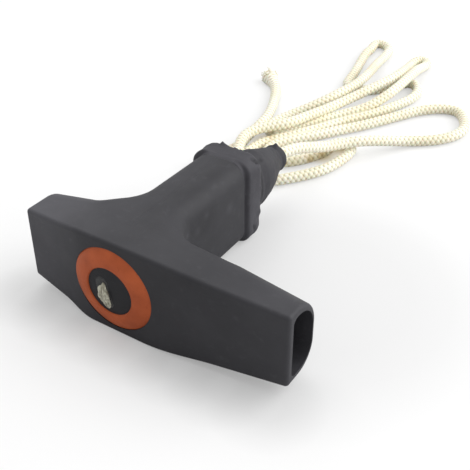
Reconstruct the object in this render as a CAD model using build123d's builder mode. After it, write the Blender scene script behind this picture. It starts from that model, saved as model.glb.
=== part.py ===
"""Recoil starter handle: a hollow T grip with an insert ring, an end sleeve and a loose hank of rope."""
from build123d import *
import math
import os

# Millimetres. X runs along the bar, Y from the bar's face back to the rope, Z up. The origin is under the
# middle of the handle, on the surface that it lies on. Pairs of radii are the lower and the upper corner.

# Bar of the grip, measured from the axis of the stem
LEFT_ARM = 36.0
RIGHT_ARM = 56.0
CENTRE_HALF_HEIGHT = 16.4
END_HALF_HEIGHT = 12.3
MIDDLE_HALF_HEIGHT = 14.2
CENTRE_FLAT = 9.0
ARM_SHARE = 0.6
FACE_SETBACK = 4.2
MIDDLE_SETBACK = 2.0
LEFT_DEPTH = 21.6
LEFT_END_DEPTH = 16.8
RIGHT_DEPTH = 16.5
RIGHT_END_DEPTH = 14.3
REAR_EDGE_RADIUS = 6.6
LEFT_END_RADII = (8.0, 8.4)
RIGHT_END_RADII = (8.4, 10.6)
FACE_EDGE_RADIUS = 1.2
ARM_WALL = 2.0
REAR_WALL = 1.5
HOLLOW_RADIUS = 2.0
RIGHT_FLOOR = 20.0

# Stem of the grip
STEM_LEFT = 10.6
STEM_RIGHT = 8.6
STEM_HALF_HEIGHT = 15.8
STEM_START = 24.0
STEM_END = 57.0
STEM_EDGE = 0.5
ROOT_RADIUS = 10.0
BORE_RADIUS = 6.0

# Insert ring and the core inside it
RING_RADIUS = 13.9
RING_HOLE_RADIUS = 7.9
RING_THICKNESS = 3.0
RING_RISE = 1.5
RING_EDGE = 0.3
RING_CROWN = (11.3, -0.95)
CORE_DEPTH = 8.0
CORE_RISE = 1.1
CORE_DOME = 0.9
FIT_GAP = 0.05

# Rope end seen in the core
SLOT_LENGTH = 11.0
SLOT_WIDTH = 5.0
SLOT_DEPTH = 3.4
SLOT_TILT = 12.0
SLOT_SHIFT = (1.5, -0.6)
KNOT_LENGTH = 9.6
KNOT_WIDTH = 3.9
KNOT_DEPTH = 3.6

# End sleeve: spigot, neck, collar, nose and lip
SPIGOT_LENGTH = 9.0
NECK_LENGTH = 1.3
NECK_INSET = 1.4
NECK_TOP_INSET = 0.35
COLLAR_LENGTH = 7.4
COLLAR_LEFT = 12.3
COLLAR_RIGHT = 9.4
COLLAR_TOP = 15.7
COLLAR_RADIUS = 5.6
COLLAR_EDGE = 2.2
NOSE_LENGTH = 23.0
NOSE_BASE = (7.8, 12.8)
NOSE_SECTIONS = ((0.38, 6.8, 10.8), (0.68, 5.4, 7.4), (1.0, 4.1, 4.6))
LIP_RADIUS = 4.7
LIP_LENGTH = 2.7
LIP_EDGE = 1.2

# Rope
ROPE_DIAMETER = 4.4
ROPE_CLEARANCE = 0.1

# Places worked out from the sizes
AXIS_X = (LEFT_ARM - RIGHT_ARM) / 2
SLEEVE_END = STEM_END + NECK_LENGTH + COLLAR_LENGTH + NOSE_LENGTH + LIP_LENGTH
FACE_Y = -(SLEEVE_END - RING_RISE) / 2
AXIS_Z = CENTRE_HALF_HEIGHT
ROPE_RADIUS = ROPE_DIAMETER / 2
STEM_AXIS = Axis((AXIS_X, FACE_Y, AXIS_Z), (0, 1, 0))
COLLAR_START = STEM_END + NECK_LENGTH
NOSE_START = COLLAR_START + COLLAR_LENGTH
SLOT_FLOOR = SLOT_DEPTH - CORE_RISE - CORE_DOME
DOME_SPHERE = (RING_HOLE_RADIUS**2 + CORE_DOME**2) / (2 * CORE_DOME)
LEFT_JOIN = ARM_SHARE * LEFT_ARM
RIGHT_JOIN = ARM_SHARE * RIGHT_ARM
LEFT_END_REAR = FACE_SETBACK + LEFT_END_DEPTH
RIGHT_END_REAR = FACE_SETBACK + RIGHT_END_DEPTH
LEFT_SLOPE = (LEFT_END_REAR - LEFT_DEPTH) / (LEFT_ARM - STEM_LEFT)
RIGHT_SLOPE = (RIGHT_END_REAR - RIGHT_DEPTH) / (RIGHT_ARM - STEM_RIGHT)
LEFT_REAR = LEFT_DEPTH + LEFT_SLOPE * (LEFT_JOIN - STEM_LEFT)
RIGHT_REAR = RIGHT_DEPTH + RIGHT_SLOPE * (RIGHT_JOIN - STEM_RIGHT)

# Route of the loose hank, chosen by hand from the nose's tip to the cut end. Heights: on the floor, half
# raised over a neighbour, and raised where it crosses.
LOW = ROPE_RADIUS + 0.02
CROSS = 7.1
HANK = [
    (AXIS_X, FACE_Y + SLEEVE_END, AXIS_Z), (-9, 54, 15.8), (-7, 63, 13.2), (-4.5, 73.5, 9.2),
    (-2, 84, 7.2), (1.5, 95, 7),
    (8, 103.5, 4.4), (17, 108.5, LOW), (25.5, 114, LOW), (31, 121.5, LOW), (33, 131, LOW), (30, 139.5, LOW),
    (23.5, 145, LOW), (15.5, 145, LOW), (9, 139, LOW), (3, 126.5, LOW), (-4.5, 112, LOW), (-12, 99.5, LOW),
    (-18.5, 89.5, LOW), (-24, 82, LOW), (-28.5, 74, LOW), (-27, 66.5, LOW), (-21, 63.5, LOW),
    (-15, 67.5, LOW), (-10, 75.5, LOW), (-7.5, 83.5, LOW), (-6.5, 90.5, LOW), (-3.5, 94.5, LOW), (1, 95, LOW),
    (4, 91, LOW),
    (4, 84.5, LOW), (2, 77.5, LOW), (-1.5, 69, LOW), (-7, 60, LOW), (-13.5, 51.5, LOW), (-22, 45.5, LOW),
    (-31, 46, LOW), (-36.5, 53, LOW), (-37.5, 63, LOW), (-34.8, 73.5, LOW), (-28, 82.5, LOW), (-21, 94, LOW),
    (-14, 108.5, LOW), (-5, 122, LOW), (1, 132.5, LOW), (5.5, 142.5, LOW), (4, 153, LOW), (-3.5, 160.5, LOW),
    (-13, 158.5, LOW), (-19.5, 151, LOW), (-22, 144.5, LOW), (-22.5, 138.5, LOW), (-25.5, 134.5, LOW),
    (-30, 134, LOW), (-33, 138, LOW), (-33.5, 145.5, LOW), (-34, 156, LOW), (-36.5, 169.5, LOW),
    (-39.5, 181.5, LOW), (-40.5, 190, LOW), (-38, 194, LOW), (-33.5, 194.5, LOW), (-30.5, 190.5, LOW),
    (-29.5, 183, LOW), (-27, 170, 3.2), (-23.5, 152.5, 6.2), (-21.5, 135, CROSS), (-25, 122, CROSS),
    (-29, 113.5, 4.9), (-34.5, 103.5, LOW), (-39, 94.5, LOW), (-40.3, 87, LOW), (-38.5, 82.5, LOW),
    (-34.3, 81.7, LOW), (-31.3, 85.2, LOW), (-28, 92, LOW), (-23, 102.5, LOW), (-17, 114, LOW),
    (-10, 122.5, 3.6),
    (-4.5, 130, 6), (-3, 141, CROSS), (-4, 154, CROSS), (-5.5, 167, 6), (-5, 176, 3.2), (-6, 182, LOW),
    (-9.5, 185, LOW), (-14, 184, LOW), (-16, 180, LOW), (-15.5, 172.5, 3.8), (-13, 162, CROSS),
    (-13.5, 149.5, CROSS), (-15.5, 136.5, CROSS), (-19, 125.5, 5.8), (-22.5, 113, 5.4), (-27, 100, 6.4),
    (-29, 87, CROSS), (-34, 79, CROSS), (-37, 72.5, CROSS), (-37.5, 65.5, CROSS), (-36, 58, CROSS),
    (-35, 50.5, CROSS), (-36.5, 44, CROSS), (-41, 40.5, 6.6), (-46, 42, 4.6), (-48, 47, 2.9),
    (-47.3, 54, LOW), (-44.8, 64.5, LOW), (-44.6, 76.5, LOW), (-45, 88.5, LOW), (-46, 100, LOW),
    (-50, 111.5, LOW), (-56, 122.5, LOW), (-63.5, 131, LOW),
]


def across(x):
    """Plane square to the bar, a distance to the right of the stem's axis: depth behind the face, height."""
    return Plane(origin=(AXIS_X + x, FACE_Y, AXIS_Z), x_dir=(0, 1, 0), z_dir=(1, 0, 0))


def behind(distance):
    """Plane square to the stem, a distance behind the bar's face, centred on the axis."""
    return Plane(origin=(AXIS_X, FACE_Y + distance, AXIS_Z), x_dir=(-1, 0, 0), z_dir=(0, 1, 0))


def end_section(x, rear, radii):
    """D shaped end face of an arm: flat in front, with the two rear corners rounded."""
    front, low, high = FACE_SETBACK, -END_HALF_HEIGHT, END_HALF_HEIGHT
    with BuildSketch(across(x)) as face:
        with BuildLine():
            FilletPolyline((front, low), (rear, low), (rear, high), (front, high), radius=radii)
            Line((front, high), (front, low))
        make_face()
    return face.sketch.faces()[0]


def hollow_section(x, front, rear, half_height, radii):
    """Section of a hollow inside the same walls, with its two front corners rounded as well."""
    low, high = ARM_WALL - half_height, half_height - ARM_WALL
    with BuildSketch(across(x)) as face:
        with BuildLine():
            FilletPolyline((front + ARM_WALL, low), (rear - REAR_WALL, low), (rear - REAR_WALL, high),
                           (front + ARM_WALL, high), close=True,
                           radius=[HOLLOW_RADIUS, radii[0] - ARM_WALL, radii[1] - ARM_WALL, HOLLOW_RADIUS])
        make_face()
    return face.sketch.faces()[0]


def arc_radii(points):
    """Each corner's arc takes 0.45 of its shorter run."""
    places = [Vector(*point) for point in points]
    radii = []
    for before, corner, after in zip(places, places[1:], places[2:]):
        turn = math.radians((corner - before).get_angle(after - corner))
        shorter = min((corner - before).length, (after - corner).length)
        radii.append(0.45 * shorter / math.tan(turn / 2))
    return radii


# Hollows of the two arms, open at the bar's ends
with BuildPart() as arm_hollows:
    middle_radii = (REAR_EDGE_RADIUS, REAR_EDGE_RADIUS)
    loft([
        hollow_section(RIGHT_JOIN, MIDDLE_SETBACK, RIGHT_REAR, MIDDLE_HALF_HEIGHT, middle_radii),
        hollow_section(RIGHT_ARM, FACE_SETBACK, RIGHT_END_REAR, END_HALF_HEIGHT, RIGHT_END_RADII),
    ], ruled=True)
    loft([
        hollow_section(-LEFT_JOIN, MIDDLE_SETBACK, LEFT_REAR, MIDDLE_HALF_HEIGHT, middle_radii),
        hollow_section(-LEFT_ARM, FACE_SETBACK, LEFT_END_REAR, END_HALF_HEIGHT, LEFT_END_RADII),
    ], ruled=True)
    inner_end = arm_hollows.faces().filter_by(Axis.X).sort_by(Axis.X)[-2]
    extrude(inner_end, amount=RIGHT_JOIN - RIGHT_FLOOR)

# Grip body: the middle of the bar with the stem, then an arm on each side
with BuildPart() as grip_body:
    with BuildSketch(Plane(origin=(AXIS_X, FACE_Y, 0))):
        with BuildLine():
            Spline((-LEFT_JOIN, MIDDLE_SETBACK), (-CENTRE_FLAT, 0),
                   tangents=(((1 - ARM_SHARE) * LEFT_ARM, MIDDLE_SETBACK - FACE_SETBACK), (1, 0)))
            Line((-CENTRE_FLAT, 0), (CENTRE_FLAT, 0))
            Spline((CENTRE_FLAT, 0), (RIGHT_JOIN, MIDDLE_SETBACK),
                   tangents=((1, 0), ((1 - ARM_SHARE) * RIGHT_ARM, FACE_SETBACK - MIDDLE_SETBACK)))
            Line((RIGHT_JOIN, MIDDLE_SETBACK), (RIGHT_JOIN, RIGHT_REAR))
            FilletPolyline((RIGHT_JOIN, RIGHT_REAR), (STEM_RIGHT, RIGHT_DEPTH), (STEM_RIGHT, STEM_END),
                           radius=ROOT_RADIUS)
            Line((STEM_RIGHT, STEM_END), (-STEM_LEFT, STEM_END))
            FilletPolyline((-STEM_LEFT, STEM_END), (-STEM_LEFT, LEFT_DEPTH), (-LEFT_JOIN, LEFT_REAR),
                           radius=ROOT_RADIUS)
            Line((-LEFT_JOIN, LEFT_REAR), (-LEFT_JOIN, MIDDLE_SETBACK))
        make_face()
    extrude(amount=2 * CENTRE_HALF_HEIGHT)
    with BuildSketch(behind(-1)):
        with BuildLine():
            Spline((LEFT_JOIN, MIDDLE_HALF_HEIGHT), (CENTRE_FLAT, CENTRE_HALF_HEIGHT),
                   tangents=((-(1 - ARM_SHARE) * LEFT_ARM, MIDDLE_HALF_HEIGHT - END_HALF_HEIGHT), (-1, 0)))
            Line((CENTRE_FLAT, CENTRE_HALF_HEIGHT), (-CENTRE_FLAT, CENTRE_HALF_HEIGHT))
            Spline((-CENTRE_FLAT, CENTRE_HALF_HEIGHT), (-RIGHT_JOIN, MIDDLE_HALF_HEIGHT),
                   tangents=((-1, 0), (-(1 - ARM_SHARE) * RIGHT_ARM, END_HALF_HEIGHT - MIDDLE_HALF_HEIGHT)))
            Line((-RIGHT_JOIN, MIDDLE_HALF_HEIGHT), (-RIGHT_JOIN, 0))
            Line((LEFT_JOIN, MIDDLE_HALF_HEIGHT), (LEFT_JOIN, 0))
            mirror(about=Plane.XZ)
        make_face()
    extrude(amount=STEM_END + 2, mode=Mode.INTERSECT)
    with BuildSketch(across(-LEFT_ARM)):
        with BuildLine():
            Polyline((-1, 0), (-1, CENTRE_HALF_HEIGHT), (STEM_START, CENTRE_HALF_HEIGHT),
                     (STEM_END, STEM_HALF_HEIGHT), (STEM_END, 0))
            mirror(about=Plane.XZ)
        make_face()
    extrude(amount=LEFT_ARM + RIGHT_ARM, mode=Mode.INTERSECT)
    long_edges = (
        grip_body.edges()
        .filter_by_position(Axis.Y, FACE_Y + RIGHT_DEPTH / 2, FACE_Y + STEM_END, inclusive=(False, False))
        .filter_by_position(Axis.X, AXIS_X - LEFT_JOIN, AXIS_X + RIGHT_JOIN,
                            inclusive=(False, False))
        .filter_by(Axis.Z, reverse=True)
        .filter_by(Axis.X, reverse=True)
        .filter_by(lambda edge: abs(abs(edge.center().X - AXIS_X) - CENTRE_FLAT) > 0.01)
    )
    fillet(long_edges, radius=REAR_EDGE_RADIUS)
    middle_ends = grip_body.faces().filter_by(Axis.X).sort_by(Axis.X)
    loft([middle_ends[-1], end_section(RIGHT_ARM, RIGHT_END_REAR, RIGHT_END_RADII)], ruled=True)
    loft([middle_ends[0], end_section(-LEFT_ARM, LEFT_END_REAR, LEFT_END_RADII)], ruled=True)
    arm_ends = grip_body.faces().filter_by(Axis.X).sort_by(Axis.X)
    front_edges = (
        grip_body.edges()
        .filter_by_position(Axis.Y, FACE_Y, FACE_Y + FACE_SETBACK, inclusive=(True, False))
        .filter_by(Axis.Z, reverse=True)
    )
    fillet(front_edges + arm_ends[0].edges() + arm_ends[-1].edges(), radius=FACE_EDGE_RADIUS)
    add(arm_hollows.part, mode=Mode.SUBTRACT)
    with BuildSketch(behind(RING_THICKNESS)):
        Circle(RING_RADIUS + FIT_GAP)
    extrude(amount=-2 * RING_THICKNESS, mode=Mode.SUBTRACT)
    with BuildSketch(behind(CORE_DEPTH)):
        Circle(RING_HOLE_RADIUS)
    extrude(amount=-CORE_DEPTH, mode=Mode.SUBTRACT)
    with BuildSketch(behind(STEM_END)):
        Circle(BORE_RADIUS)
    extrude(amount=CORE_DEPTH - STEM_END, mode=Mode.SUBTRACT)
    fillet(grip_body.faces().sort_by(Axis.Y)[-1].outer_wire().edges(), radius=STEM_EDGE)
grip_body.part.label = "grip_body"
export_step(grip_body.part, "parts/grip_body.step")

# Insert ring, pressed into the bar's face
with BuildPart() as insert_ring:
    with BuildSketch(Plane(origin=(AXIS_X, FACE_Y, AXIS_Z))):
        with BuildLine():
            Polyline((RING_HOLE_RADIUS, -RING_RISE + RING_EDGE), (RING_HOLE_RADIUS, RING_THICKNESS),
                     (RING_RADIUS, RING_THICKNESS), (RING_RADIUS, RING_EDGE))
            ThreePointArc((RING_RADIUS, RING_EDGE), RING_CROWN, (RING_HOLE_RADIUS + RING_EDGE, -RING_RISE))
            Line((RING_HOLE_RADIUS + RING_EDGE, -RING_RISE), (RING_HOLE_RADIUS, -RING_RISE + RING_EDGE))
        make_face()
    revolve(axis=STEM_AXIS)
insert_ring.part.label = "insert_ring"
export_step(insert_ring.part, "parts/insert_ring.step")

# Core plug in the ring, domed, with the slot that the rope's end lies in
with BuildPart() as core_plug:
    with BuildSketch(behind(CORE_DEPTH)):
        Circle(RING_HOLE_RADIUS - FIT_GAP)
    extrude(amount=-CORE_DEPTH - CORE_RISE - CORE_DOME)
    with Locations((AXIS_X, FACE_Y - CORE_RISE - CORE_DOME + DOME_SPHERE, AXIS_Z)):
        Sphere(DOME_SPHERE, mode=Mode.INTERSECT)
    with BuildSketch(behind(SLOT_FLOOR)):
        with Locations(SLOT_SHIFT):
            SlotOverall(SLOT_LENGTH, SLOT_WIDTH, rotation=90 - SLOT_TILT)
    extrude(amount=-CORE_DEPTH, mode=Mode.SUBTRACT)
    with BuildSketch(behind(CORE_DEPTH)):
        Circle(ROPE_RADIUS + ROPE_CLEARANCE)
    extrude(amount=SLOT_FLOOR - CORE_DEPTH, mode=Mode.SUBTRACT)
core_plug.part.label = "core_plug"
export_step(core_plug.part, "parts/core_plug.step")

# Rope end folded into the slot
with BuildPart() as rope_end:
    with BuildSketch(behind(SLOT_FLOOR)):
        with Locations(SLOT_SHIFT):
            SlotOverall(KNOT_LENGTH, KNOT_WIDTH, rotation=90 - SLOT_TILT)
    extrude(amount=-KNOT_DEPTH)
    fillet(rope_end.faces().sort_by(Axis.Y)[0].edges(), radius=KNOT_WIDTH / 3)
rope_end.part.label = "rope_end"
export_step(rope_end.part, "parts/rope_end.step")

# End sleeve with the nose that the rope leaves by
with BuildPart() as end_sleeve:
    with BuildSketch(behind(STEM_END - SPIGOT_LENGTH)):
        Circle(BORE_RADIUS - FIT_GAP)
    extrude(amount=SPIGOT_LENGTH)
    with BuildSketch(behind(STEM_END)):
        with Locations(((STEM_LEFT - STEM_RIGHT) / 2, 0)):
            RectangleRounded(STEM_LEFT + STEM_RIGHT - 2 * NECK_INSET, 2 * (STEM_HALF_HEIGHT - NECK_TOP_INSET),
                             REAR_EDGE_RADIUS - NECK_INSET)
    extrude(amount=NECK_LENGTH)
    with BuildSketch(behind(COLLAR_START)):
        with Locations(((COLLAR_LEFT - COLLAR_RIGHT) / 2, (COLLAR_TOP - CENTRE_HALF_HEIGHT) / 2)):
            RectangleRounded(COLLAR_LEFT + COLLAR_RIGHT, COLLAR_TOP + CENTRE_HALF_HEIGHT, COLLAR_RADIUS)
    extrude(amount=COLLAR_LENGTH)
    fillet(end_sleeve.faces().sort_by(Axis.Y)[-1].edges(), radius=COLLAR_EDGE)
    with BuildSketch(behind(COLLAR_START + COLLAR_LENGTH - COLLAR_EDGE)):
        Ellipse(*NOSE_BASE)
    for share, half_width, half_height in NOSE_SECTIONS:
        with BuildSketch(behind(NOSE_START + share * NOSE_LENGTH)):
            Ellipse(half_width, half_height)
    loft()
    with BuildSketch(behind(SLEEVE_END - LIP_LENGTH)):
        Circle(LIP_RADIUS)
    extrude(amount=LIP_LENGTH)
    fillet(end_sleeve.faces().sort_by(Axis.Y)[-1].edges(), radius=LIP_EDGE)
    with BuildSketch(behind(STEM_END - SPIGOT_LENGTH)):
        Circle(ROPE_RADIUS + ROPE_CLEARANCE)
    extrude(amount=SLEEVE_END, mode=Mode.SUBTRACT)
end_sleeve.part.label = "end_sleeve"
export_step(end_sleeve.part, "parts/end_sleeve.step")

# Rope held inside the handle, from the slot to the nose's tip
with BuildPart() as rope_inside:
    with BuildSketch(behind(SLOT_FLOOR)):
        Circle(ROPE_RADIUS)
    extrude(amount=SLEEVE_END - SLOT_FLOOR)
rope_inside.part.label = "rope_inside"
export_step(rope_inside.part, "parts/rope_inside.step")

# Loose hank of rope behind the handle
hank_radii = arc_radii(HANK)
print("hank radii", [round(radius, 1) for radius in hank_radii])
with BuildPart() as rope_hank:
    with BuildLine() as hank_path:
        FilletPolyline(*HANK, radius=hank_radii)
    with BuildSketch(Plane(origin=hank_path.line @ 0, z_dir=hank_path.line % 0)):
        Circle(ROPE_RADIUS)
    sweep()
hank_length = sum(edge.length for edge in hank_path.edges())
print("hank length", round(hank_length, 1), "volume over section times length",
      round(rope_hank.part.volume / (math.pi * ROPE_RADIUS**2 * hank_length), 4), rope_hank.part.is_valid)
rope_hank.part.label = "rope_hank"
export_step(rope_hank.part, "parts/rope_hank.step")
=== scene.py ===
"""Recoil starter handle lying on its side, with its braided rope folded behind it."""
import math
import random

import bmesh
import bpy
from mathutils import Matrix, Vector, noise


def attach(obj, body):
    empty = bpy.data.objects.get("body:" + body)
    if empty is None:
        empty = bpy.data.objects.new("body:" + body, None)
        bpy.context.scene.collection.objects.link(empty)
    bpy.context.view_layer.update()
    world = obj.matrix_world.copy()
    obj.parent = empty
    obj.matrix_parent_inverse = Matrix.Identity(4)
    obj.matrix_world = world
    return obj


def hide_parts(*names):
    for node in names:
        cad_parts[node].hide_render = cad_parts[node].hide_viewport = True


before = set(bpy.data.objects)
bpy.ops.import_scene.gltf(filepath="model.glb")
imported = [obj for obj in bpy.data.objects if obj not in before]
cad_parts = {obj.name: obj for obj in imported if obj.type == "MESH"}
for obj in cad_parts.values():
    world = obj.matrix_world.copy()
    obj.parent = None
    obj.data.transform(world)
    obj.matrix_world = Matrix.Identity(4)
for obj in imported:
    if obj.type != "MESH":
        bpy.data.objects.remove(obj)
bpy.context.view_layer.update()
random.seed(7)

# Metres in a millimetre, and the stem's axis and the bar's face in the CAD's frame
MM = 0.001
AXIS_X, FACE_Y, AXIS_Z = -0.010, -0.04495, 0.0164
NEAR_ZERO = 1e-9


# Camera
SENSOR_WIDTH, LENS = 36, 64.34
CAMERA_PLACE = (0.1222, -0.18265, 0.1679)
CAMERA_TILT, CAMERA_TURN = 54.79, 33.22


def add_camera():
    data = bpy.data.cameras.new("camera")
    data.sensor_width = SENSOR_WIDTH
    data.lens = LENS
    data.clip_start = 0.01
    camera = bpy.data.objects.new("camera", data)
    camera.location = CAMERA_PLACE
    camera.rotation_euler = (math.radians(CAMERA_TILT), 0.0, math.radians(CAMERA_TURN))
    bpy.context.scene.collection.objects.link(camera)
    bpy.context.scene.camera = camera


add_camera()


# Places and meshes
SEAM_REACH = 1e-7


def on_axis(x, behind, z):
    """Place in metres of a point in millimetres: right of the axis, behind the face, above the axis."""
    return Vector((AXIS_X + x * MM, FACE_Y + behind * MM, AXIS_Z + z * MM))


def along(start, end, count):
    """Evenly spaced places from the start to the end, both included."""
    return [tuple(a + (b - a) * part / (count - 1) for a, b in zip(start, end)) for part in range(count)]


def spoke(side, up, angle):
    """Direction at this angle in the plane of two sides that are square to each other."""
    return side * math.cos(angle) + up * math.sin(angle)


def ripple(place, turns, shift=(0, 0, 0)):
    """Smooth random wave of about -1 to 1, with this many turns in each unit of the place."""
    return noise.noise(Vector(place) * turns + Vector(shift))


def turning_frames(places):
    """Tangent and two sides at each point, carried along without twist."""
    tangents = []
    for number in range(len(places)):
        ahead = places[min(number + 2, len(places) - 1)]
        behind = places[max(number - 2, 0)]
        tangents.append((ahead - behind).normalized())
    side = tangents[0].orthogonal().normalized()
    frames = []
    for tangent in tangents:
        side = (side - tangent * side.dot(tangent)).normalized()
        frames.append((tangent, side, tangent.cross(side)))
    return frames


def shaped_grid(sheet, rows):
    """Adds a grid and lays it through these rows of places."""
    made = bmesh.ops.create_grid(sheet, x_segments=len(rows[0]) - 1, y_segments=len(rows) - 1, size=1.0)
    for vertex, place in zip(made["verts"], [place for row in rows for place in row]):
        vertex.co = place
    return made["verts"]


def rolled_tube(sheet, rings, first_cap=True, last_cap=True):
    """Adds a tube through these rings, as a grid rolled up, with its seam still to be merged."""
    around = len(rings[0])
    grid = shaped_grid(sheet, [(*ring, ring[0]) for ring in rings])
    if first_cap:
        sheet.faces.new(grid[:around][::-1])
    if last_cap:
        sheet.faces.new(grid[-around - 1:-1])


def close_seams(sheet):
    """Merges the seams of the tubes and turns all faces outwards."""
    bmesh.ops.remove_doubles(sheet, verts=sheet.verts, dist=SEAM_REACH)
    bmesh.ops.recalc_face_normals(sheet, faces=sheet.faces)


def new_piece(name, sheet, smooth=True):
    """Object with this name and the sheet's faces."""
    for face in sheet.faces:
        face.smooth = smooth
    mesh = bpy.data.meshes.new(name)
    sheet.to_mesh(mesh)
    sheet.free()
    piece = bpy.data.objects.new(name, mesh)
    bpy.context.scene.collection.objects.link(piece)
    return piece


def belong(piece, material):
    """Gives the piece its material and lets it ride with the handle."""
    piece.data.materials.append(material)
    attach(piece, "root")


# Rope route: control points in millimetres. LOW lies just off the floor, and CROSS is over another strand
ROPE_RADIUS = 2.2
ROPE_LOWEST = 0.02
LOW = ROPE_RADIUS + ROPE_LOWEST
CROSS = 7.1
ROUTE = [
    (-10, 46.45, 16.4), (-9, 54, 15.8), (-7, 63, 13.2), (-4.5, 73.3, 9.2), (-1.5, 82.8, 7.2),
    (3.9, 89.6, 7), (10, 99.2, 4.4), (17.2, 108.1, LOW), (25.4, 114.4, LOW), (30.3, 121.6, LOW),
    (31.8, 129, LOW), (28.9, 137.8, LOW), (23.3, 144.4, LOW), (16.3, 142.6, LOW), (9.3, 136.1, LOW),
    (3.6, 125.7, LOW), (-4.1, 111.4, LOW), (-12.1, 99.6, LOW), (-18.5, 89.5, LOW), (-24, 82, LOW),
    (-28.5, 74, LOW), (-27, 66.5, LOW), (-21, 63.5, LOW), (-15, 67.5, LOW), (-10, 75.5, LOW),
    (-7.5, 83.5, LOW), (-8.3, 88.1, LOW), (-5.7, 91.8, LOW), (-2.6, 92.3, LOW), (0.3, 88.8, LOW),
    (0.8, 83.5, LOW), (0.3, 77.5, LOW), (-1.6, 68.8, LOW), (-6.9, 59.8, LOW), (-13.5, 51.5, LOW),
    (-22, 45.5, LOW), (-31, 46, LOW), (-34.8, 53.5, LOW), (-33.7, 63.5, LOW), (-33.2, 73.2, LOW),
    (-28, 82.5, LOW), (-21, 94, LOW), (-14, 108.5, LOW), (-5.4, 122.9, LOW), (-0.7, 135.4, LOW),
    (2.2, 145.5, LOW), (1, 154.5, LOW), (-4.7, 160.2, LOW), (-9.2, 155.4, LOW), (-13.2, 147.7, LOW),
    (-15.7, 143.6, LOW), (-18.1, 141.4, LOW), (-21.6, 140.4, LOW), (-25.9, 138.8, LOW), (-29.4, 142.2, LOW),
    (-30.5, 147.9, LOW), (-32, 156.2, LOW), (-35, 168.1, LOW), (-37.6, 179.4, LOW), (-37.3, 184, LOW),
    (-39.1, 192.7, LOW), (-35.4, 194.5, LOW), (-29.5, 190.5, LOW), (-27.8, 179.9, LOW), (-26.7, 168.7, 3.2),
    (-22.5, 151.2, 6.2), (-20.9, 135.5, CROSS), (-23.4, 121.6, CROSS), (-28.1, 112.2, 4.9),
    (-34.6, 103.9, LOW), (-37.2, 95.2, LOW), (-37.9, 88.6, LOW), (-36, 84, LOW), (-32.6, 83.2, LOW),
    (-30, 86.4, LOW), (-28, 92, LOW), (-23, 102.5, LOW), (-17, 114, LOW), (-10, 122.5, 3.6),
    (-5.9, 132.2, 6), (-4.5, 142.5, CROSS), (-4.7, 154.9, CROSS), (-5.5, 166.8, 6), (-7, 174.7, 3.2),
    (-6.6, 183.2, LOW), (-9.8, 187, LOW), (-13.2, 184, LOW), (-13.2, 176.2, LOW), (-11.6, 169.4, 3.8),
    (-9.3, 157.5, CROSS), (-10.5, 147.3, CROSS), (-13.7, 134.3, CROSS), (-18, 123.6, 5.8),
    (-21.7, 111.1, 5.4), (-25.3, 96.5, 6.4), (-28.1, 85.7, CROSS), (-33.6, 79, CROSS), (-37, 72.5, CROSS),
    (-37, 65.8, CROSS), (-34.1, 58.5, CROSS), (-30.7, 51.4, CROSS), (-35.5, 44.5, CROSS), (-38, 42.5, 6.6),
    (-42, 43.5, 4.6), (-44, 48, 2.9), (-44.8, 54, LOW), (-38.5, 64.1, LOW), (-40.6, 75, 2.5),
    (-40.8, 88.5, 3.4), (-43.9, 99.6, 3), (-49.4, 111.9, LOW), (-55.2, 122.9, LOW), (-63.1, 129.6, LOW),
]

# Braid: strands each way, a stitch's length and relief in millimetres
CARRIERS = 4
STITCH = 2.1
STITCH_RELIEF = 0.45
# Relief of one strand: the share that waves over and under, its round top, and how fast that falls off
STRAND_WAVE, STRAND_ROUND, STRAND_FALL = 0.35, 0.65, 3.4
# Stretches before the cut end that are wider, in millimetres, and by what share
LOOSE_STRETCH, LOOSE_SWELL = 26.0, 0.2
TIP_STRETCH, TIP_SWELL = 9.0, 0.5
ROPE_SEGMENTS = 32
ROPE_STEP = 0.45
CAP_UV = (0.5, 0.5)


def spline_line(points, name):
    """Points of the NURBS curve that has these control points, in metres."""
    curve = bpy.data.curves.new(name, "CURVE")
    curve.dimensions = "3D"
    spline = curve.splines.new("NURBS")
    spline.points.add(len(points) - 1)
    for control, point in zip(spline.points, points):
        control.co = (point[0] * MM, point[1] * MM, point[2] * MM, 1)
    spline.order_u = 3
    spline.use_endpoint_u = True
    spline.resolution_u = 12
    holder = bpy.data.objects.new(name, curve)
    mesh = bpy.data.meshes.new_from_object(holder)
    line = [vertex.co.copy() for vertex in mesh.vertices]
    bpy.data.objects.remove(holder)
    bpy.data.curves.remove(curve)
    bpy.data.meshes.remove(mesh)
    return line


def even_points(line, step):
    """Places along the line at even lengths of about this step."""
    lengths = [0.0]
    for before, after in zip(line, line[1:]):
        lengths.append(lengths[-1] + (after - before).length)
    count = max(2, round(lengths[-1] / step))
    places, index = [], 0
    for number in range(count + 1):
        target = lengths[-1] * number / count
        while index < len(line) - 2 and lengths[index + 1] < target:
            index += 1
        span = max(lengths[index + 1] - lengths[index], NEAR_ZERO)
        places.append(line[index].lerp(line[index + 1], (target - lengths[index]) / span))
    return places


def braid_height(around, stitches):
    """Relief of the plain weave of two sets of strands, 1 at the crowns."""
    first = around * CARRIERS - stitches
    second = around * CARRIERS + stitches
    i, j = math.floor(first + 0.5), math.floor(second + 0.5)

    def strand(offset, wave):
        return STRAND_WAVE * wave + STRAND_ROUND * math.sqrt(1 - STRAND_FALL * offset**2)

    over = strand(first - i, math.cos(math.pi * (second + i)))
    under = strand(second - j, -math.cos(math.pi * (first + j)))
    return max(over, under)


def swelling(before_end):
    """How many times its usual width the rope has, this many millimetres before its cut end."""
    swell = 1.0
    for stretch, most in ((LOOSE_STRETCH, LOOSE_SWELL), (TIP_STRETCH, TIP_SWELL)):
        loose = max(0.0, 1 - before_end / stretch)
        swell += most * loose * loose * (3 - 2 * loose)
    return swell


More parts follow.
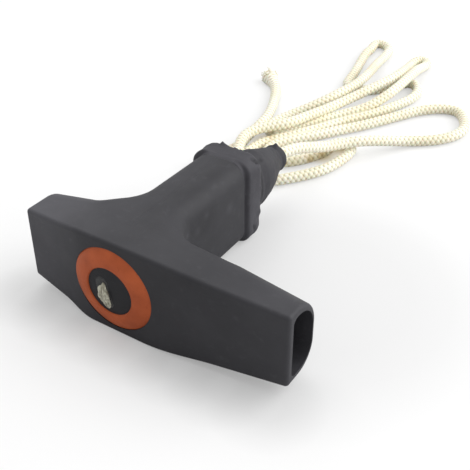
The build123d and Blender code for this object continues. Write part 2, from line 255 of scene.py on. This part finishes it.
def braided_tube(name, places):
    """Braided rope along these places, closed at its cut end, with stitches counted in its UV map."""
    step = (places[1] - places[0]).length / MM
    rings = []
    for number, (place, (_, side, up)) in enumerate(zip(places, turning_frames(places))):
        swell = swelling((len(places) - 1 - number) * step)
        ring = []
        for segment in range(ROPE_SEGMENTS):
            around = segment / ROPE_SEGMENTS
            relief = STITCH_RELIEF * (1 - braid_height(around, number * step / STITCH))
            point = place + spoke(side, up, math.tau * around) * (ROPE_RADIUS - relief) * swell * MM
            point.z = max(point.z, ROPE_LOWEST * MM)
            ring.append(point)
        rings.append(ring)
    sheet = bmesh.new()
    weave = sheet.loops.layers.uv.new("braid")
    rolled_tube(sheet, rings, first_cap=False)
    sheet.verts.index_update()
    for face in sheet.faces:
        for loop in face.loops:
            row, column = divmod(loop.vert.index, ROPE_SEGMENTS + 1)
            woven = (column / ROPE_SEGMENTS, row * step / STITCH)
            loop[weave].uv = woven if len(face.verts) == 4 else CAP_UV
    close_seams(sheet)
    return new_piece(name, sheet)


# Materials
WHITE = (1.0, 1.0, 1.0)
GRAIN_DEPTH = 0.00006


class Graph:
    """Short calls for a material's nodes."""

    # Numbers of the Mix node's sockets, several of which share a name
    MIX_FACTOR, MIX_NUMBERS, MIX_COLOURS, MIX_COLOUR_RESULT = 0, (2, 3), (6, 7), 2

    def __init__(self, name):
        self.material = bpy.data.materials.new(name)
        self.material.use_nodes = True
        self.tree = self.material.node_tree
        self.tree.nodes.clear()
        self.output = self.add("ShaderNodeOutputMaterial")
        coordinates = self.add("ShaderNodeTexCoord")
        self.place, self.uv = coordinates.outputs["Object"], coordinates.outputs["UV"]

    def add(self, kind, **inputs):
        """New node, with its inputs by name and underscores for spaces."""
        node = self.tree.nodes.new(kind)
        for key, value in inputs.items():
            self.put(node.inputs[key.replace("_", " ")], value)
        return node

    def put(self, socket, value):
        """Links a socket or a node's first output to this socket, or sets a plain value."""
        if isinstance(value, bpy.types.NodeSocket):
            self.tree.links.new(value, socket)
        elif isinstance(value, bpy.types.Node):
            self.tree.links.new(value.outputs[0], socket)
        else:
            socket.default_value = value

    def math(self, operation, *values):
        node = self.tree.nodes.new("ShaderNodeMath")
        node.operation = operation
        for socket, value in zip(node.inputs, values):
            self.put(socket, value)
        return node.outputs[0]

    def parts(self, vector):
        return self.add("ShaderNodeSeparateXYZ", Vector=vector).outputs

    def distance(self, centre):
        """Distance from this place of the object's own space."""
        node = self.tree.nodes.new("ShaderNodeVectorMath")
        node.operation = "DISTANCE"
        self.put(node.inputs[0], self.place)
        node.inputs[1].default_value = centre
        return node.outputs["Value"]

    def noise(self, scale, detail=3.0, place=None):
        node = self.add("ShaderNodeTexNoise", Vector=place or self.place, Scale=scale, Detail=detail)
        return node.outputs["Fac"]

    def ramp(self, value, *stops):
        """Colour ramp, whose stops are places with a colour or a grey."""
        node = self.add("ShaderNodeValToRGB", Fac=value)
        elements = node.color_ramp.elements
        while len(elements) < len(stops):
            elements.new(0.5)
        for element, (place, colour) in zip(elements, stops):
            element.position = place
            element.color = (*colour, 1) if isinstance(colour, tuple) else (colour, colour, colour, 1)
        return node.outputs["Color"]

    def choose(self, factor, first, second):
        """The first number where the factor is 0, the second where it is 1."""
        node = self.tree.nodes.new("ShaderNodeMix")
        self.put(node.inputs[self.MIX_FACTOR], factor)
        for number, value in zip(self.MIX_NUMBERS, (first, second)):
            self.put(node.inputs[number], value)
        return node.outputs[0]

    def multiply(self, first, second):
        """Product of two colours."""
        node = self.tree.nodes.new("ShaderNodeMix")
        node.data_type = "RGBA"
        node.blend_type = "MULTIPLY"
        node.inputs[self.MIX_FACTOR].default_value = 1.0
        for number, value in zip(self.MIX_COLOURS, (first, second)):
            self.put(node.inputs[number], value)
        return node.outputs[self.MIX_COLOUR_RESULT]

    def spot(self, colour, centre, reach, shade, core, rim=1.0):
        """The colour, times the shade within the core share of this reach, unchanged past the rim share."""
        away = self.math("DIVIDE", self.distance(centre), reach)
        return self.multiply(colour, self.ramp(away, (core, shade), (rim, WHITE)))

    def bump(self, height, strength, distance):
        return self.add("ShaderNodeBump", Strength=strength, Distance=distance, Height=height).outputs[0]

    def mix_shaders(self, factor, first, second):
        node = self.tree.nodes.new("ShaderNodeMixShader")
        for socket, value in zip(node.inputs, (factor, first, second)):
            self.put(socket, value)
        return node

    def finish(self, shader):
        self.put(self.output.inputs[0], shader)
        return self.material


# Shares of the tones in a moulding's colour, the turn and scale of its scratches, and the roughness's spread
CLOUD_SHARE, RUBBED_SHARE, SCRATCH_SHARE, SCUFF_SHARE = 0.75, 0.2, 0.1, 0.45
SCRATCH_TURN, SCRATCH_SCALE = (0.3, 0.2, 0.7), (90, 2400, 900)
ROUGHNESS_SPREAD = 0.18


def moulded_plastic(name, dark, light, roughness, grain, fade=None, scuffs=(), shades=()):
    """Satin moulding: fine grain, cloudy tone, rubbed spots, faint scratches, soft scuffs and dark spots.

    The fade is an axis, its scale and the stops of the gain along it; on the handle it paints a sheen. A
    scuff is a place in metres and its reach, and a shade has the grey at its core too: painted shade in the
    sleeve's creases, darker blotches on the stem.
    """
    g = Graph(name)
    stretched = g.add("ShaderNodeMapping", Vector=g.place, Rotation=SCRATCH_TURN, Scale=SCRATCH_SCALE)
    scratch = g.ramp(g.noise(1.0, 2.0, stretched), (0.66, 0.0), (0.74, 1.0))
    rubbed = g.ramp(g.noise(380.0), (0.60, 0.0), (0.75, 1.0))
    tone = g.math("MULTIPLY", g.noise(45.0, 4.0), CLOUD_SHARE)
    tone = g.math("MULTIPLY_ADD", rubbed, RUBBED_SHARE, tone)
    tone = g.math("MULTIPLY_ADD", scratch, SCRATCH_SHARE, tone)
    for centre, reach in scuffs:
        away = g.math("DIVIDE", g.distance(centre), reach)
        near = g.math("MAXIMUM", g.math("SUBTRACT", 1.0, away), 0.0)
        tone = g.math("MULTIPLY_ADD", near, SCUFF_SHARE, tone)
    colour = g.ramp(tone, (0.25, dark), (0.75, light), (1.0, tuple(1.5 * value for value in light)))
    # Gain along one axis: a painted sheen on the handle, a darker rear on the sleeve
    if fade is not None:
        axis, scale, stops = fade
        gain = g.ramp(g.math("MULTIPLY_ADD", g.parts(g.place)[axis], scale, 0.5), *stops)
        colour = g.multiply(colour, gain)
    # Dark spots: painted shade in the sleeve's creases, darker blotches on the stem
    for centre, reach, grey in shades:
        colour = g.spot(colour, centre, reach, (grey, grey, grey), 0.2)
    rough = g.math("MULTIPLY_ADD", g.noise(160.0), ROUGHNESS_SPREAD, roughness - ROUGHNESS_SPREAD / 2)
    height = g.math("MULTIPLY_ADD", scratch, -0.5, g.noise(2600.0, 2.0))
    return g.finish(g.add("ShaderNodeBsdfPrincipled", Base_Color=colour, Roughness=rough,
                          Normal=g.bump(height, grain, GRAIN_DEPTH), Specular_IOR_Level=0.3))


# Painted brown shade on the rope, where its strands lie over each other: centre and reach in metres
ROPE_PAINTED_SHADE = (((-0.0354, 0.0781, 0.0040), 0.0035), ((-0.0346, 0.0815, 0.0050), 0.003),
               ((-0.0330, 0.0852, 0.0050), 0.003), ((-0.0307, 0.0878, 0.0050), 0.0028),
               ((-0.0314, 0.0779, 0.0030), 0.003), ((-0.0075, 0.0780, 0.0025), 0.0042),
               ((-0.0059, 0.0842, 0.0025), 0.0032), ((-0.0089, 0.0724, 0.0025), 0.003))
PAINTED_SHADE_BROWN = (0.70, 0.60, 0.42)
YARNS_IN_STRAND = 5


def rope_material():
    """Cream braid with yarn lines, painted shade between strands, painted highlights on crowns and brown
    painted shade.
    """
    g = Graph("rope_cream")
    around, stitches, _ = g.parts(g.uv)
    around = g.math("MULTIPLY", around, float(CARRIERS))
    first, second = g.math("SUBTRACT", around, stitches), g.math("ADD", around, stitches)
    i, j = g.math("ROUND", first), g.math("ROUND", second)
    from_first, from_second = g.math("SUBTRACT", first, i), g.math("SUBTRACT", second, j)

    def strand(offset, other, number, wave_share):
        square = g.math("MULTIPLY", offset, offset)
        arc = g.math("SQRT", g.math("SUBTRACT", 1.0, g.math("MULTIPLY", square, STRAND_FALL)))
        wave = g.math("COSINE", g.math("MULTIPLY", g.math("ADD", other, number), math.pi))
        return g.math("MULTIPLY_ADD", wave, wave_share, g.math("MULTIPLY", arc, STRAND_ROUND))

    over = strand(from_first, second, i, STRAND_WAVE)
    under = strand(from_second, first, j, -STRAND_WAVE)
    height = g.math("MAXIMUM", over, under)
    offset = g.choose(g.math("GREATER_THAN", over, under), from_second, from_first)
    yarn = g.math("SINE", g.math("MULTIPLY", offset, math.tau * YARNS_IN_STRAND))
    # Painted shade and highlight: the colour is darkest between the strands and lightest on their crowns
    colour = g.ramp(height, (0.40, (0.50, 0.45, 0.30)), (0.68, (0.83, 0.79, 0.61)),
                    (0.90, (0.98, 0.96, 0.83)))
    colour = g.multiply(colour, g.ramp(g.noise(70.0), (0.35, (0.93, 0.90, 0.82)), (0.65, WHITE)))
    # Painted brown shade where the strands lie over each other
    for centre, reach in ROPE_PAINTED_SHADE:
        colour = g.spot(colour, centre, reach, PAINTED_SHADE_BROWN, 0.35)
    normal = g.bump(g.math("MULTIPLY_ADD", yarn, 0.05, height), 0.6, 0.0003)
    return g.finish(g.add("ShaderNodeBsdfPrincipled", Base_Color=colour, Roughness=0.62, Normal=normal,
                          Sheen_Weight=0.25, Sheen_Roughness=0.5,
                          Subsurface_Weight=0.12, Subsurface_Scale=0.0008))


def ring_material():
    """Orange moulding with a cloudy tone and small dark specks."""
    g = Graph("ring_orange")
    speck = g.ramp(g.noise(900.0), (0.62, 0.0), (0.72, 1.0))
    tone = g.math("MULTIPLY_ADD", speck, -0.12, g.noise(120.0, 4.0))
    colour = g.ramp(tone, (0.3, (0.39, 0.0745, 0.019)), (0.7, (0.56, 0.117, 0.0324)))
    return g.finish(g.add("ShaderNodeBsdfPrincipled", Base_Color=colour, Roughness=0.5,
                          Normal=g.bump(g.noise(2200.0, 2.0), 0.3, GRAIN_DEPTH), Specular_IOR_Level=0.3))


BURNT_BROWN = (0.16, 0.10, 0.05)
BURNT_REACH = 0.002


def yarn_material(name, light, dark, burnt=None):
    """Loose yarn ends: fine lines along each fibre, brown around a melted place where one is given."""
    g = Graph(name)
    tone = g.noise(900.0)
    colour = g.ramp(tone, (0.3, dark), (0.65, light))
    if burnt is not None:
        colour = g.spot(colour, burnt, BURNT_REACH, BURNT_BROWN, 0.35, 0.75)
    return g.finish(g.add("ShaderNodeBsdfPrincipled", Base_Color=colour, Roughness=0.7,
                          Normal=g.bump(tone, 0.5, 0.0001), Sheen_Weight=0.2))


# Painted sheen: the handle's colour is lightest at its left end and a little lighter at its right, where
# light falls on it; the sleeve is darker from its collar's rear edge on
BODY_PAINTED_SHEEN = (0, 10.0, ((0.04, 1.0), (0.30, 0.60), (0.42, 0.46), (0.60, 0.45), (0.96, 0.56)))
SLEEVE_FADE = (1, 20.0, ((0.92, 1.0), (0.97, 0.66)))
STEM_SCUFFS = (((-0.0014, -0.0145, 0.0223), 0.0022), ((-0.0014, -0.0096, 0.0254), 0.0018),
               ((-0.0014, -0.0201, 0.0238), 0.0016), ((-0.0014, 0.0030, 0.0210), 0.0026))
STEM_SHADES = (((-0.0014, -0.0118, 0.0226), 0.0055, 0.86), ((-0.0014, -0.0155, 0.0225), 0.0045, 0.9),
               ((-0.0014, -0.0069, 0.0235), 0.0045, 0.9), ((-0.0071, -0.0011, 0.0323), 0.004, 0.9),
               ((-0.0075, 0.0045, 0.0323), 0.004, 0.9), ((-0.0059, -0.0086, 0.0323), 0.005, 0.92))

# Bends of the crease up the sleeve's right side and ends of the fold below it, as on_axis takes them
CREASE = ((4.8, 73.0, 8.9), (6.8, 67.5, 10.2), (8.2, 64.8, 13.3), (7.2, 63.4, 14.4))
# Painted shade: dark spots on each run of the crease
CREASE_STEPS = (4, 4, 2)
FOLD = ((7.6, 69.45, 5.0), (7.6, 69.45, -3.8))


def sleeve_painted_shade():
    """Painted shade in the crease and along the fold behind the collar: dark spots, each a place, reach and
    grey.
    """
    crease = [CREASE[0]]
    for start, end, steps in zip(CREASE, CREASE[1:], CREASE_STEPS):
        crease += along(start, end, steps + 1)[1:]
    shades = [(on_axis(*place), 0.0012, 0.55) for place in crease]
    return shades + [(on_axis(*place), 0.0016, 0.72) for place in along(*FOLD, 5)]


body_black = moulded_plastic("body_black", (0.065, 0.0642, 0.0734), (0.107, 0.1056, 0.119), 0.58, 0.35,
                             BODY_PAINTED_SHEEN, STEM_SCUFFS, STEM_SHADES)
sleeve_black = moulded_plastic("sleeve_black", (0.0435, 0.042, 0.0495), (0.081, 0.080, 0.090), 0.62, 0.6,
                               SLEEVE_FADE, shades=sleeve_painted_shade())
core_black = moulded_plastic("core_black", (0.0125, 0.0125, 0.015), (0.0325, 0.0325, 0.0375), 0.55, 0.9)
rope_cream = rope_material()
ring_orange = ring_material()
MELTED_SPOT = (-0.0589, 0.1244, 0.0054)
TUFT_SPOT = (-0.0085, -0.0471, 0.0169)
yarn_tip = yarn_material("yarn_tip", (0.95, 0.93, 0.80), (0.62, 0.56, 0.38), MELTED_SPOT)
yarn_grey = yarn_material("yarn_grey", (0.66, 0.64, 0.52), (0.22, 0.20, 0.14), TUFT_SPOT)
yarn_soiled = yarn_material("yarn_soiled", (0.040, 0.040, 0.040), (0.016, 0.016, 0.017))


# CAD nodes that keep their shapes
def dress(name, material):
    """Gives a CAD node this material."""
    for slot in bpy.data.objects[name].material_slots:
        slot.material = material


dress("grip_body", body_black)
dress("insert_ring", ring_orange)
dress("core_plug", core_black)
dress("rope_inside", rope_cream)


# Loose rope
rope_line = spline_line(ROUTE, "rope_route")
rope_places = even_points(rope_line, ROPE_STEP * MM)
rope = braided_tube("rope_braid", rope_places)
belong(rope, rope_cream)
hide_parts("rope_hank")


# End sleeve: neck, collar, nose and lip as rings behind one another
SLEEVE_AROUND = 128
# Distance behind the face, reach to the left, right, top and bottom of the axis in millimetres, squareness
SLEEVE_RINGS = [
    (56.6, 9.7, 7.7, 15.6, 15.2, 1.0), (57.3, 9.8, 7.8, 15.7, 15.3, 1.0),
    (57.9, 9.8, 7.8, 15.72, 15.4, 1.0), (58.2, 11.0, 8.35, 15.74, 15.8, 1.0),
    (58.6, 12.6, 8.95, 15.7, 16.2, 1.0), (59.1, 13.4, 9.3, 15.6, 16.4, 1.0),
    (60.5, 13.8, 9.4, 15.5, 16.4, 1.0), (62.5, 13.9, 9.4, 15.4, 16.4, 1.0),
    (64.4, 13.8, 9.4, 15.3, 16.4, 1.0), (65.3, 13.4, 9.3, 15.1, 16.2, 1.0),
    (65.9, 12.7, 9.0, 14.7, 15.7, 1.0), (66.3, 11.4, 8.5, 14.2, 14.9, 0.9),
    (66.5, 9.6, 7.8, 13.5, 13.8, 0.6), (66.8, 8.2, 7.6, 12.9, 12.9, 0.3), (67.6, 7.8, 7.9, 12.4, 12.7, 0.2),
    (69.5, 7.5, 7.7, 11.9, 12.4, 0.1), (71.5, 7.2, 7.4, 11.4, 11.9, 0.0), (74.4, 6.8, 7.7, 10.8, 11.5, 0.0),
    (78.0, 6.2, 7.4, 9.2, 10.1, 0.0), (81.3, 5.6, 6.6, 7.8, 8.5, 0.0), (85.2, 5.0, 5.2, 6.3, 6.1, 0.0),
    (87.5, 4.5, 4.6, 5.3, 5.0, 0.0), (88.5, 4.2, 4.3, 4.6, 4.6, 0.0), (88.95, 4.5, 4.5, 4.65, 4.65, 0.0),
    (89.5, 4.75, 4.7, 4.8, 4.75, 0.0), (90.6, 4.75, 4.7, 4.8, 4.75, 0.0),
    (91.15, 4.45, 4.45, 4.5, 4.5, 0.0), (91.4, 3.9, 3.9, 3.9, 3.9, 0.0), (91.35, 2.9, 2.9, 2.9, 2.9, 0.0),
    (91.0, 2.45, 2.45, 2.45, 2.45, 0.0), (88.0, 2.4, 2.4, 2.4, 2.4, 0.0),
]
RING_STEP = 0.45
COLLAR_CORNER = 5.2
CORNER_SHARE = 0.55
# Where the collar's front and its ragged rear edge are, and the width of that edge and of the mould's fin
COLLAR_FRONT, COLLAR_REAR = 58.5, 65.9
EDGE_WIDTH, FIN_WIDTH = 0.55, 0.42
# Wear starts this far behind the face, and the lip's bore, which is narrower than this, has none
WEAR_FROM, WEAR_HALF_WIDTH = 57.0, 3.0

# Bumps and dents: x from the axis, distance behind the face, z from the axis, size and height in millimetres
SLEEVE_MARKS = [
    (-5.3, 65.3, 15.2, 0.8, 1.4), (-3.9, 65.5, 15.2, 0.9, 0.5), (0.5, 90.2, 4.9, 0.7, 0.9),
    (8.6, 65.0, -9.5, 1.6, -0.9), (8.0, 65.4, -12.2, 1.4, -0.6), (9.2, 65.6, -6.2, 1.0, 0.5),
    (-7.5, 65.6, 13.5, 1.4, 0.3), (3.0, 90.0, -3.6, 0.8, 0.35), (-11.5, 62.0, 13.6, 3.4, -1.2),
    (-13.9, 62.0, 7.0, 3.4, 0.6), (-0.2, 90.9, 4.7, 0.6, 0.5),
]
# Grooves: start, end, size and height of the dents that are set along them
SLEEVE_GROOVES = [
    (CREASE[0], CREASE[1], 0.6, -0.45), (CREASE[1], CREASE[2], 0.6, -0.4), (CREASE[2], CREASE[3], 0.6, -0.4),
    ((7.6, 69.5, 3.9), (7.8, 69.2, -2.8), 0.55, -0.3), ((9.4, 61.2, -10.0), (9.2, 62.6, -12.5), 0.7, -0.3),
]
for groove_start, groove_end, size, height in SLEEVE_GROOVES:
    SLEEVE_MARKS += [(*place, size, height) for place in along(groove_start, groove_end, 9)]


def rounded_box(angle, half_width, half_height, corner):
    """Point on a rounded rectangle in the direction of this angle."""
    x, z = math.cos(angle), math.sin(angle)
    reach = min(half_width / max(abs(x), NEAR_ZERO), half_height / max(abs(z), NEAR_ZERO))
    corner_x, corner_z = half_width - corner, half_height - corner
    if abs(x) * reach > corner_x and abs(z) * reach > corner_z:
        middle = abs(x) * corner_x + abs(z) * corner_z
        reach = middle + math.sqrt(max(middle**2 - (corner_x**2 + corner_z**2 - corner**2), 0.0))
    return x * reach, z * reach


def sleeve_rings():
    """The chosen rings with closer ones between them."""
    rings = []
    for before, after in zip(SLEEVE_RINGS, SLEEVE_RINGS[1:]):
        rings += along(before, after, max(1, round(abs(after[0] - before[0]) / RING_STEP)) + 1)[:-1]
    return rings + [SLEEVE_RINGS[-1]]


def sleeve_wear(x, y, z):
    """Outward change of the sleeve's surface, mm: moulding waves, flash along its edges, small marks."""
    change = 0.16 * ripple((x, y, z), 0.22) + 0.09 * ripple((x, y, z), 0.8, (9, 3, 1))
    edge = math.exp(-((y - COLLAR_REAR) / EDGE_WIDTH) ** 2)
    ragged = ripple((x, 0, z), 0.45, (0, 4, 0)) + 0.6 * ripple((x, 0, z), 1.3, (0, 7, 0))
    change += edge * max(0.0, ragged - 0.05) * 0.8
    if y > COLLAR_FRONT:
        fin = math.exp(-(x / FIN_WIDTH) ** 2) * min(1.0, (y - COLLAR_FRONT) / 2)
        change += fin * (0.16 + 0.22 * max(0.0, ripple((0, y, 0), 0.5, (0, 0, math.copysign(5.0, z)))))
    for mark_x, mark_y, mark_z, size, height in SLEEVE_MARKS:
        distance = (x - mark_x) ** 2 + (y - mark_y) ** 2 + (z - mark_z) ** 2
        change += height * math.exp(-distance / size**2)
    return change


def build_sleeve():
    rings = []
    for behind, left, right, top, bottom, square in sleeve_rings():
        half_width, half_height = (left + right) / 2, (top + bottom) / 2
        corner = min(COLLAR_CORNER, half_width * CORNER_SHARE)
        worn = half_width > WEAR_HALF_WIDTH and behind > WEAR_FROM
        ring = []
        for number in range(SLEEVE_AROUND):
            angle = math.tau * number / SLEEVE_AROUND
            box_x, box_z = rounded_box(angle, half_width, half_height, corner)
            turn = math.atan2(math.sin(angle) * half_width, math.cos(angle) * half_height)
            oval_x, oval_z = half_width * math.cos(turn), half_height * math.sin(turn)
            x = oval_x + (box_x - oval_x) * square + (right - left) / 2
            z = oval_z + (box_z - oval_z) * square + (top - bottom) / 2
            outward = Vector((x, 0, z)).normalized()
            change = sleeve_wear(x, behind, z) if worn else 0.0
            ring.append(on_axis(x + outward.x * change, behind, max(z + outward.z * change, -AXIS_Z / MM)))
        rings.append(ring)
    sheet = bmesh.new()
    rolled_tube(sheet, rings, last_cap=False)
    close_seams(sheet)
    return new_piece("sleeve_moulding", sheet)


sleeve = build_sleeve()
belong(sleeve, sleeve_black)
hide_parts("end_sleeve")


# Frayed rope end on the core's dome, and the yarns in its slot: x and z from the axis, in millimetres
FRAY_CENTRE = (-1.15, -1.2)
FRAY_TILT = math.radians(4)
FRAY_YARNS = 26
SLOT_CENTRE = (-1.5, -0.6)
SLOT_TILT = math.radians(12)
SLOT_YARNS = 15
SLOT_HALF_WIDTH = 2.2
SLOT_HALF_LENGTH = 2.9
SLOT_END_RADIUS = 2.45
SLOT_YARN_RADIUS = 0.28
SLOT_DEPTH = 0.2
YARN_STEPS = 12
# Dome: depth of its rim behind the face, rise at its middle, and the square of its radius, in millimetres
DOME_RIM, DOME_RISE, DOME_SQUARE = 1.1, 0.9, 62.0


def tuft(name, strands, sides=6):
    """One piece of round yarns, each given by its points and radii in millimetres from the scene's origin."""
    sheet = bmesh.new()
    for points, radii in strands:
        rings = []
        for place, radius, (_, side, up) in zip(points, radii, turning_frames(points)):
            angles = [math.tau * step / sides for step in range(sides)]
            rings.append([(place + spoke(side, up, angle) * radius) * MM for angle in angles])
        rolled_tube(sheet, rings)
    close_seams(sheet)
    return new_piece(name, sheet)


def over_dome(centre, tilt, across, up, out):
    """Place across and up from this centre, turned by the tilt, and this far out from the dome's surface."""
    x = centre[0] + across * math.cos(tilt) - up * math.sin(tilt)
    z = centre[1] + across * math.sin(tilt) + up * math.cos(tilt)
    dome = -DOME_RIM - DOME_RISE * (1 - (x * x + z * z) / DOME_SQUARE)
    return on_axis(x, dome - out, z) / MM


def core_fray():
    """Yarns that leave the slot's middle and lie up and down over the dome, spread in the middle."""
    strands = []
    for _ in range(FRAY_YARNS):
        spread = random.uniform(-1, 1)
        reach_up, reach_down = random.uniform(2.4, 4.6), random.uniform(2.6, 4.9)
        lift, radius = random.uniform(0.1, 0.9), random.uniform(0.22, 0.36)
        bend = random.uniform(-0.5, 0.5)
        points, radii = [], []
        for step in range(YARN_STEPS + 1):
            share = 2 * step / YARN_STEPS - 1
            width = 1.75 * (1 - share * share) ** 0.6 + 0.5 + 0.35 * max(0.0, share)
            across = spread * width + bend * math.sin(3.2 * share) + 0.25 * max(0.0, share)
            up = reach_up - (reach_up + reach_down) * step / YARN_STEPS
            out = (0.25 + lift * (1 - share * share)) * (1 - 0.45 * abs(spread))
            points.append(over_dome(FRAY_CENTRE, FRAY_TILT, across, up, out))
            radii.append(radius * (1 - 0.75 * max(0.0, abs(share) - 0.6) / 0.4))
        strands.append((points, radii))
    piece = tuft("rope_end_fibres", strands)
    belong(piece, yarn_grey)
    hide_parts("rope_end")


def slot_fibres():
    """Soiled yarns that lie along the slot, just under the dome."""
    strands = []
    for number in range(SLOT_YARNS):
        across = -SLOT_HALF_WIDTH + 2 * SLOT_HALF_WIDTH * number / (SLOT_YARNS - 1)
        half_length = SLOT_HALF_LENGTH + math.sqrt(SLOT_END_RADIUS**2 - across**2)
        points = []
        for step in range(YARN_STEPS + 1):
            up = half_length * (1 - 2 * step / YARN_STEPS)
            points.append(over_dome(SLOT_CENTRE, SLOT_TILT, across, up, -SLOT_DEPTH))
        strands.append((points, [SLOT_YARN_RADIUS] * len(points)))
    piece = tuft("rope_end_slot_fibres", strands)
    belong(piece, yarn_soiled)


# Cut end of the loose rope: how far back its yarns start, how far they flare, and their radius
TIP_YARNS = 70
TIP_STEPS = 6
TIP_ROOT, TIP_FLARE = 2.5, 3.6
TIP_YARN_RADIUS = 0.3
TIP_LOWEST = 0.25


def rope_tip():
    """Cut end of the loose rope: yarns that spread out of the last stitches."""
    tangent, side, up = turning_frames(rope_places)[-1]
    end = rope_places[-1] / MM
    strands = []
    for _ in range(TIP_YARNS):
        angle, reach = random.uniform(0, math.tau), math.sqrt(random.uniform(0.02, 1))
        outward = spoke(side, up, angle)
        length, bend = random.uniform(0.4, 2.0), random.uniform(-0.8, 1.1)
        twist = Vector((random.uniform(-1, 1), random.uniform(-1, 1), 0)) * 0.5
        points, radii = [], []
        for step in range(TIP_STEPS + 1):
            share = step / TIP_STEPS
            place = end + outward * reach * TIP_FLARE + tangent * ((TIP_ROOT + length) * share - TIP_ROOT)
            place = place + (outward * bend * reach + twist) * share * share
            place.z = max(place.z, TIP_LOWEST)
            points.append(place)
            radii.append(TIP_YARN_RADIUS * (1 - 0.45 * share))
        strands.append((points, radii))
    piece = tuft("rope_tip_fibres", strands)
    belong(piece, yarn_tip)


# The random yarns are drawn in this order
core_fray()
slot_fibres()
rope_tip()


# Parting line over the bar's middle and along the stem's top: millimetres behind the face
LINE_START, LINE_END, LINE_STEP = 10.0, 57.2, 0.5
LINE_ROWS = 94
BAR_HALF_HEIGHT = 16.4
# The ridge's cross section, in shares of its width and height
LINE_SECTION = ((-1.6, -0.05), (-0.5, 0.7), (0.0, 1.0), (0.5, 0.7), (1.6, -0.05))


def build_parting_line():
    rows = []
    for row in range(LINE_ROWS):
        behind = LINE_START + LINE_STEP * row
        half_height = BAR_HALF_HEIGHT - max(0.0, behind - 24.0) * 0.6 / 33.0
        wander = -0.2 - 1.6 * max(0.0, (behind - 26.0) / 29.0) ** 1.3
        wander += 0.12 * ripple((behind, 0, 0), 0.2, (0, 1, 0))
        width = 0.34 + 0.1 * ripple((behind, 0, 0), 0.6, (0, 1, 5))
        rise = 0.13 + 0.08 * ripple((behind, 0, 0), 0.4, (0, 1, 9))
        rise *= min(1.0, (behind - LINE_START + 0.5) / 3, (LINE_END - behind) / 1.5)
        rows.append([on_axis(wander + across * width, behind, half_height + up * rise)
                     for across, up in LINE_SECTION])
    sheet = bmesh.new()
    shaped_grid(sheet, rows)
    piece = new_piece("stem_parting_line", sheet)
    belong(piece, body_black)


build_parting_line()


# Floor, in metres: its reach, the middle of its grey painted shadow, and the soft painted shadows under the
# rope and along the bar
FLOOR_REACH = 3.0
PAINTED_SHADOW_CENTRE = (0.03, 0.005, 0.0)
# The painted shadow fades out over a fifth of a metre times the ramp's places
FADE_SCALE = 5.0
ROPE_PAINTED_SHADOWS = [((-0.0094, 0.0819, 0.0), 0.008), ((-0.0052, 0.0895, 0.0), 0.006),
               ((-0.0347, 0.0949, 0.0), 0.008), ((-0.0342, 0.0795, 0.0), 0.007)]
BAR_PAINTED_SHADOWS = [((-0.044 + 0.0145 * step, -0.046, 0.0), 0.017) for step in range(7)]
WARM_PAINTED_SHADOW = (0.62, 0.50, 0.26)
GREY_PAINTED_SHADOW = (0.78, 0.78, 0.78)


def build_floor():
    sheet = bmesh.new()
    bmesh.ops.create_grid(sheet, x_segments=1, y_segments=1, size=FLOOR_REACH)
    piece = new_piece("floor", sheet, smooth=False)
    g = Graph("floor_white")
    # Painted shadow: the glow that only the camera sees is greyer near the handle and darker at the spots
    away = g.math("MULTIPLY", g.distance(PAINTED_SHADOW_CENTRE), FADE_SCALE)
    glow_with_painted_shadow = g.ramp(away, (0.15, 0.70), (0.21, 0.74), (0.32, 0.92), (0.5, 0.95))
    for spots, shade in ((ROPE_PAINTED_SHADOWS, WARM_PAINTED_SHADOW), (BAR_PAINTED_SHADOWS, GREY_PAINTED_SHADOW)):
        for centre, reach in spots:
            glow_with_painted_shadow = g.spot(glow_with_painted_shadow, centre, reach, shade, 0.3)
    diffuse = g.add("ShaderNodeBsdfDiffuse", Color=(0.9, 0.9, 0.9, 1))
    bounce = g.add("ShaderNodeBsdfDiffuse", Color=(0.58, 0.58, 0.58, 1))
    white = g.add("ShaderNodeEmission", Color=glow_with_painted_shadow)
    camera_ray = g.add("ShaderNodeLightPath").outputs["Is Camera Ray"]
    seen = g.mix_shaders(0.5, diffuse, white)
    piece.data.materials.append(g.finish(g.mix_shaders(camera_ray, bounce, seen)))


build_floor()


# Light
WORLD_LIGHT = 0.62

world = bpy.data.worlds.new("studio")
bpy.context.scene.world = world
world.use_nodes = True
background = world.node_tree.nodes["Background"]
background.inputs["Color"].default_value = (1.0, 1.0, 1.0, 1)
background.inputs["Strength"].default_value = WORLD_LIGHT


def soft_box(name, place, target, size, power):
    data = bpy.data.lights.new(name, "AREA")
    data.shape = "RECTANGLE"
    data.size, data.size_y = size, size
    data.energy = power
    lamp = bpy.data.objects.new(name, data)
    lamp.location = place
    lamp.rotation_euler = (Vector(target) - Vector(place)).to_track_quat("-Z", "Y").to_euler()
    bpy.context.scene.collection.objects.link(lamp)


soft_box("key", (-0.4, 0.3, 0.8), (-0.02, 0.02, 0), 0.7, 2.6)
soft_box("right", (0.75, 0.5, 0.6), (0, 0.02, 0), 1.2, 12.5)

bpy.context.scene.view_settings.view_transform = "Standard"
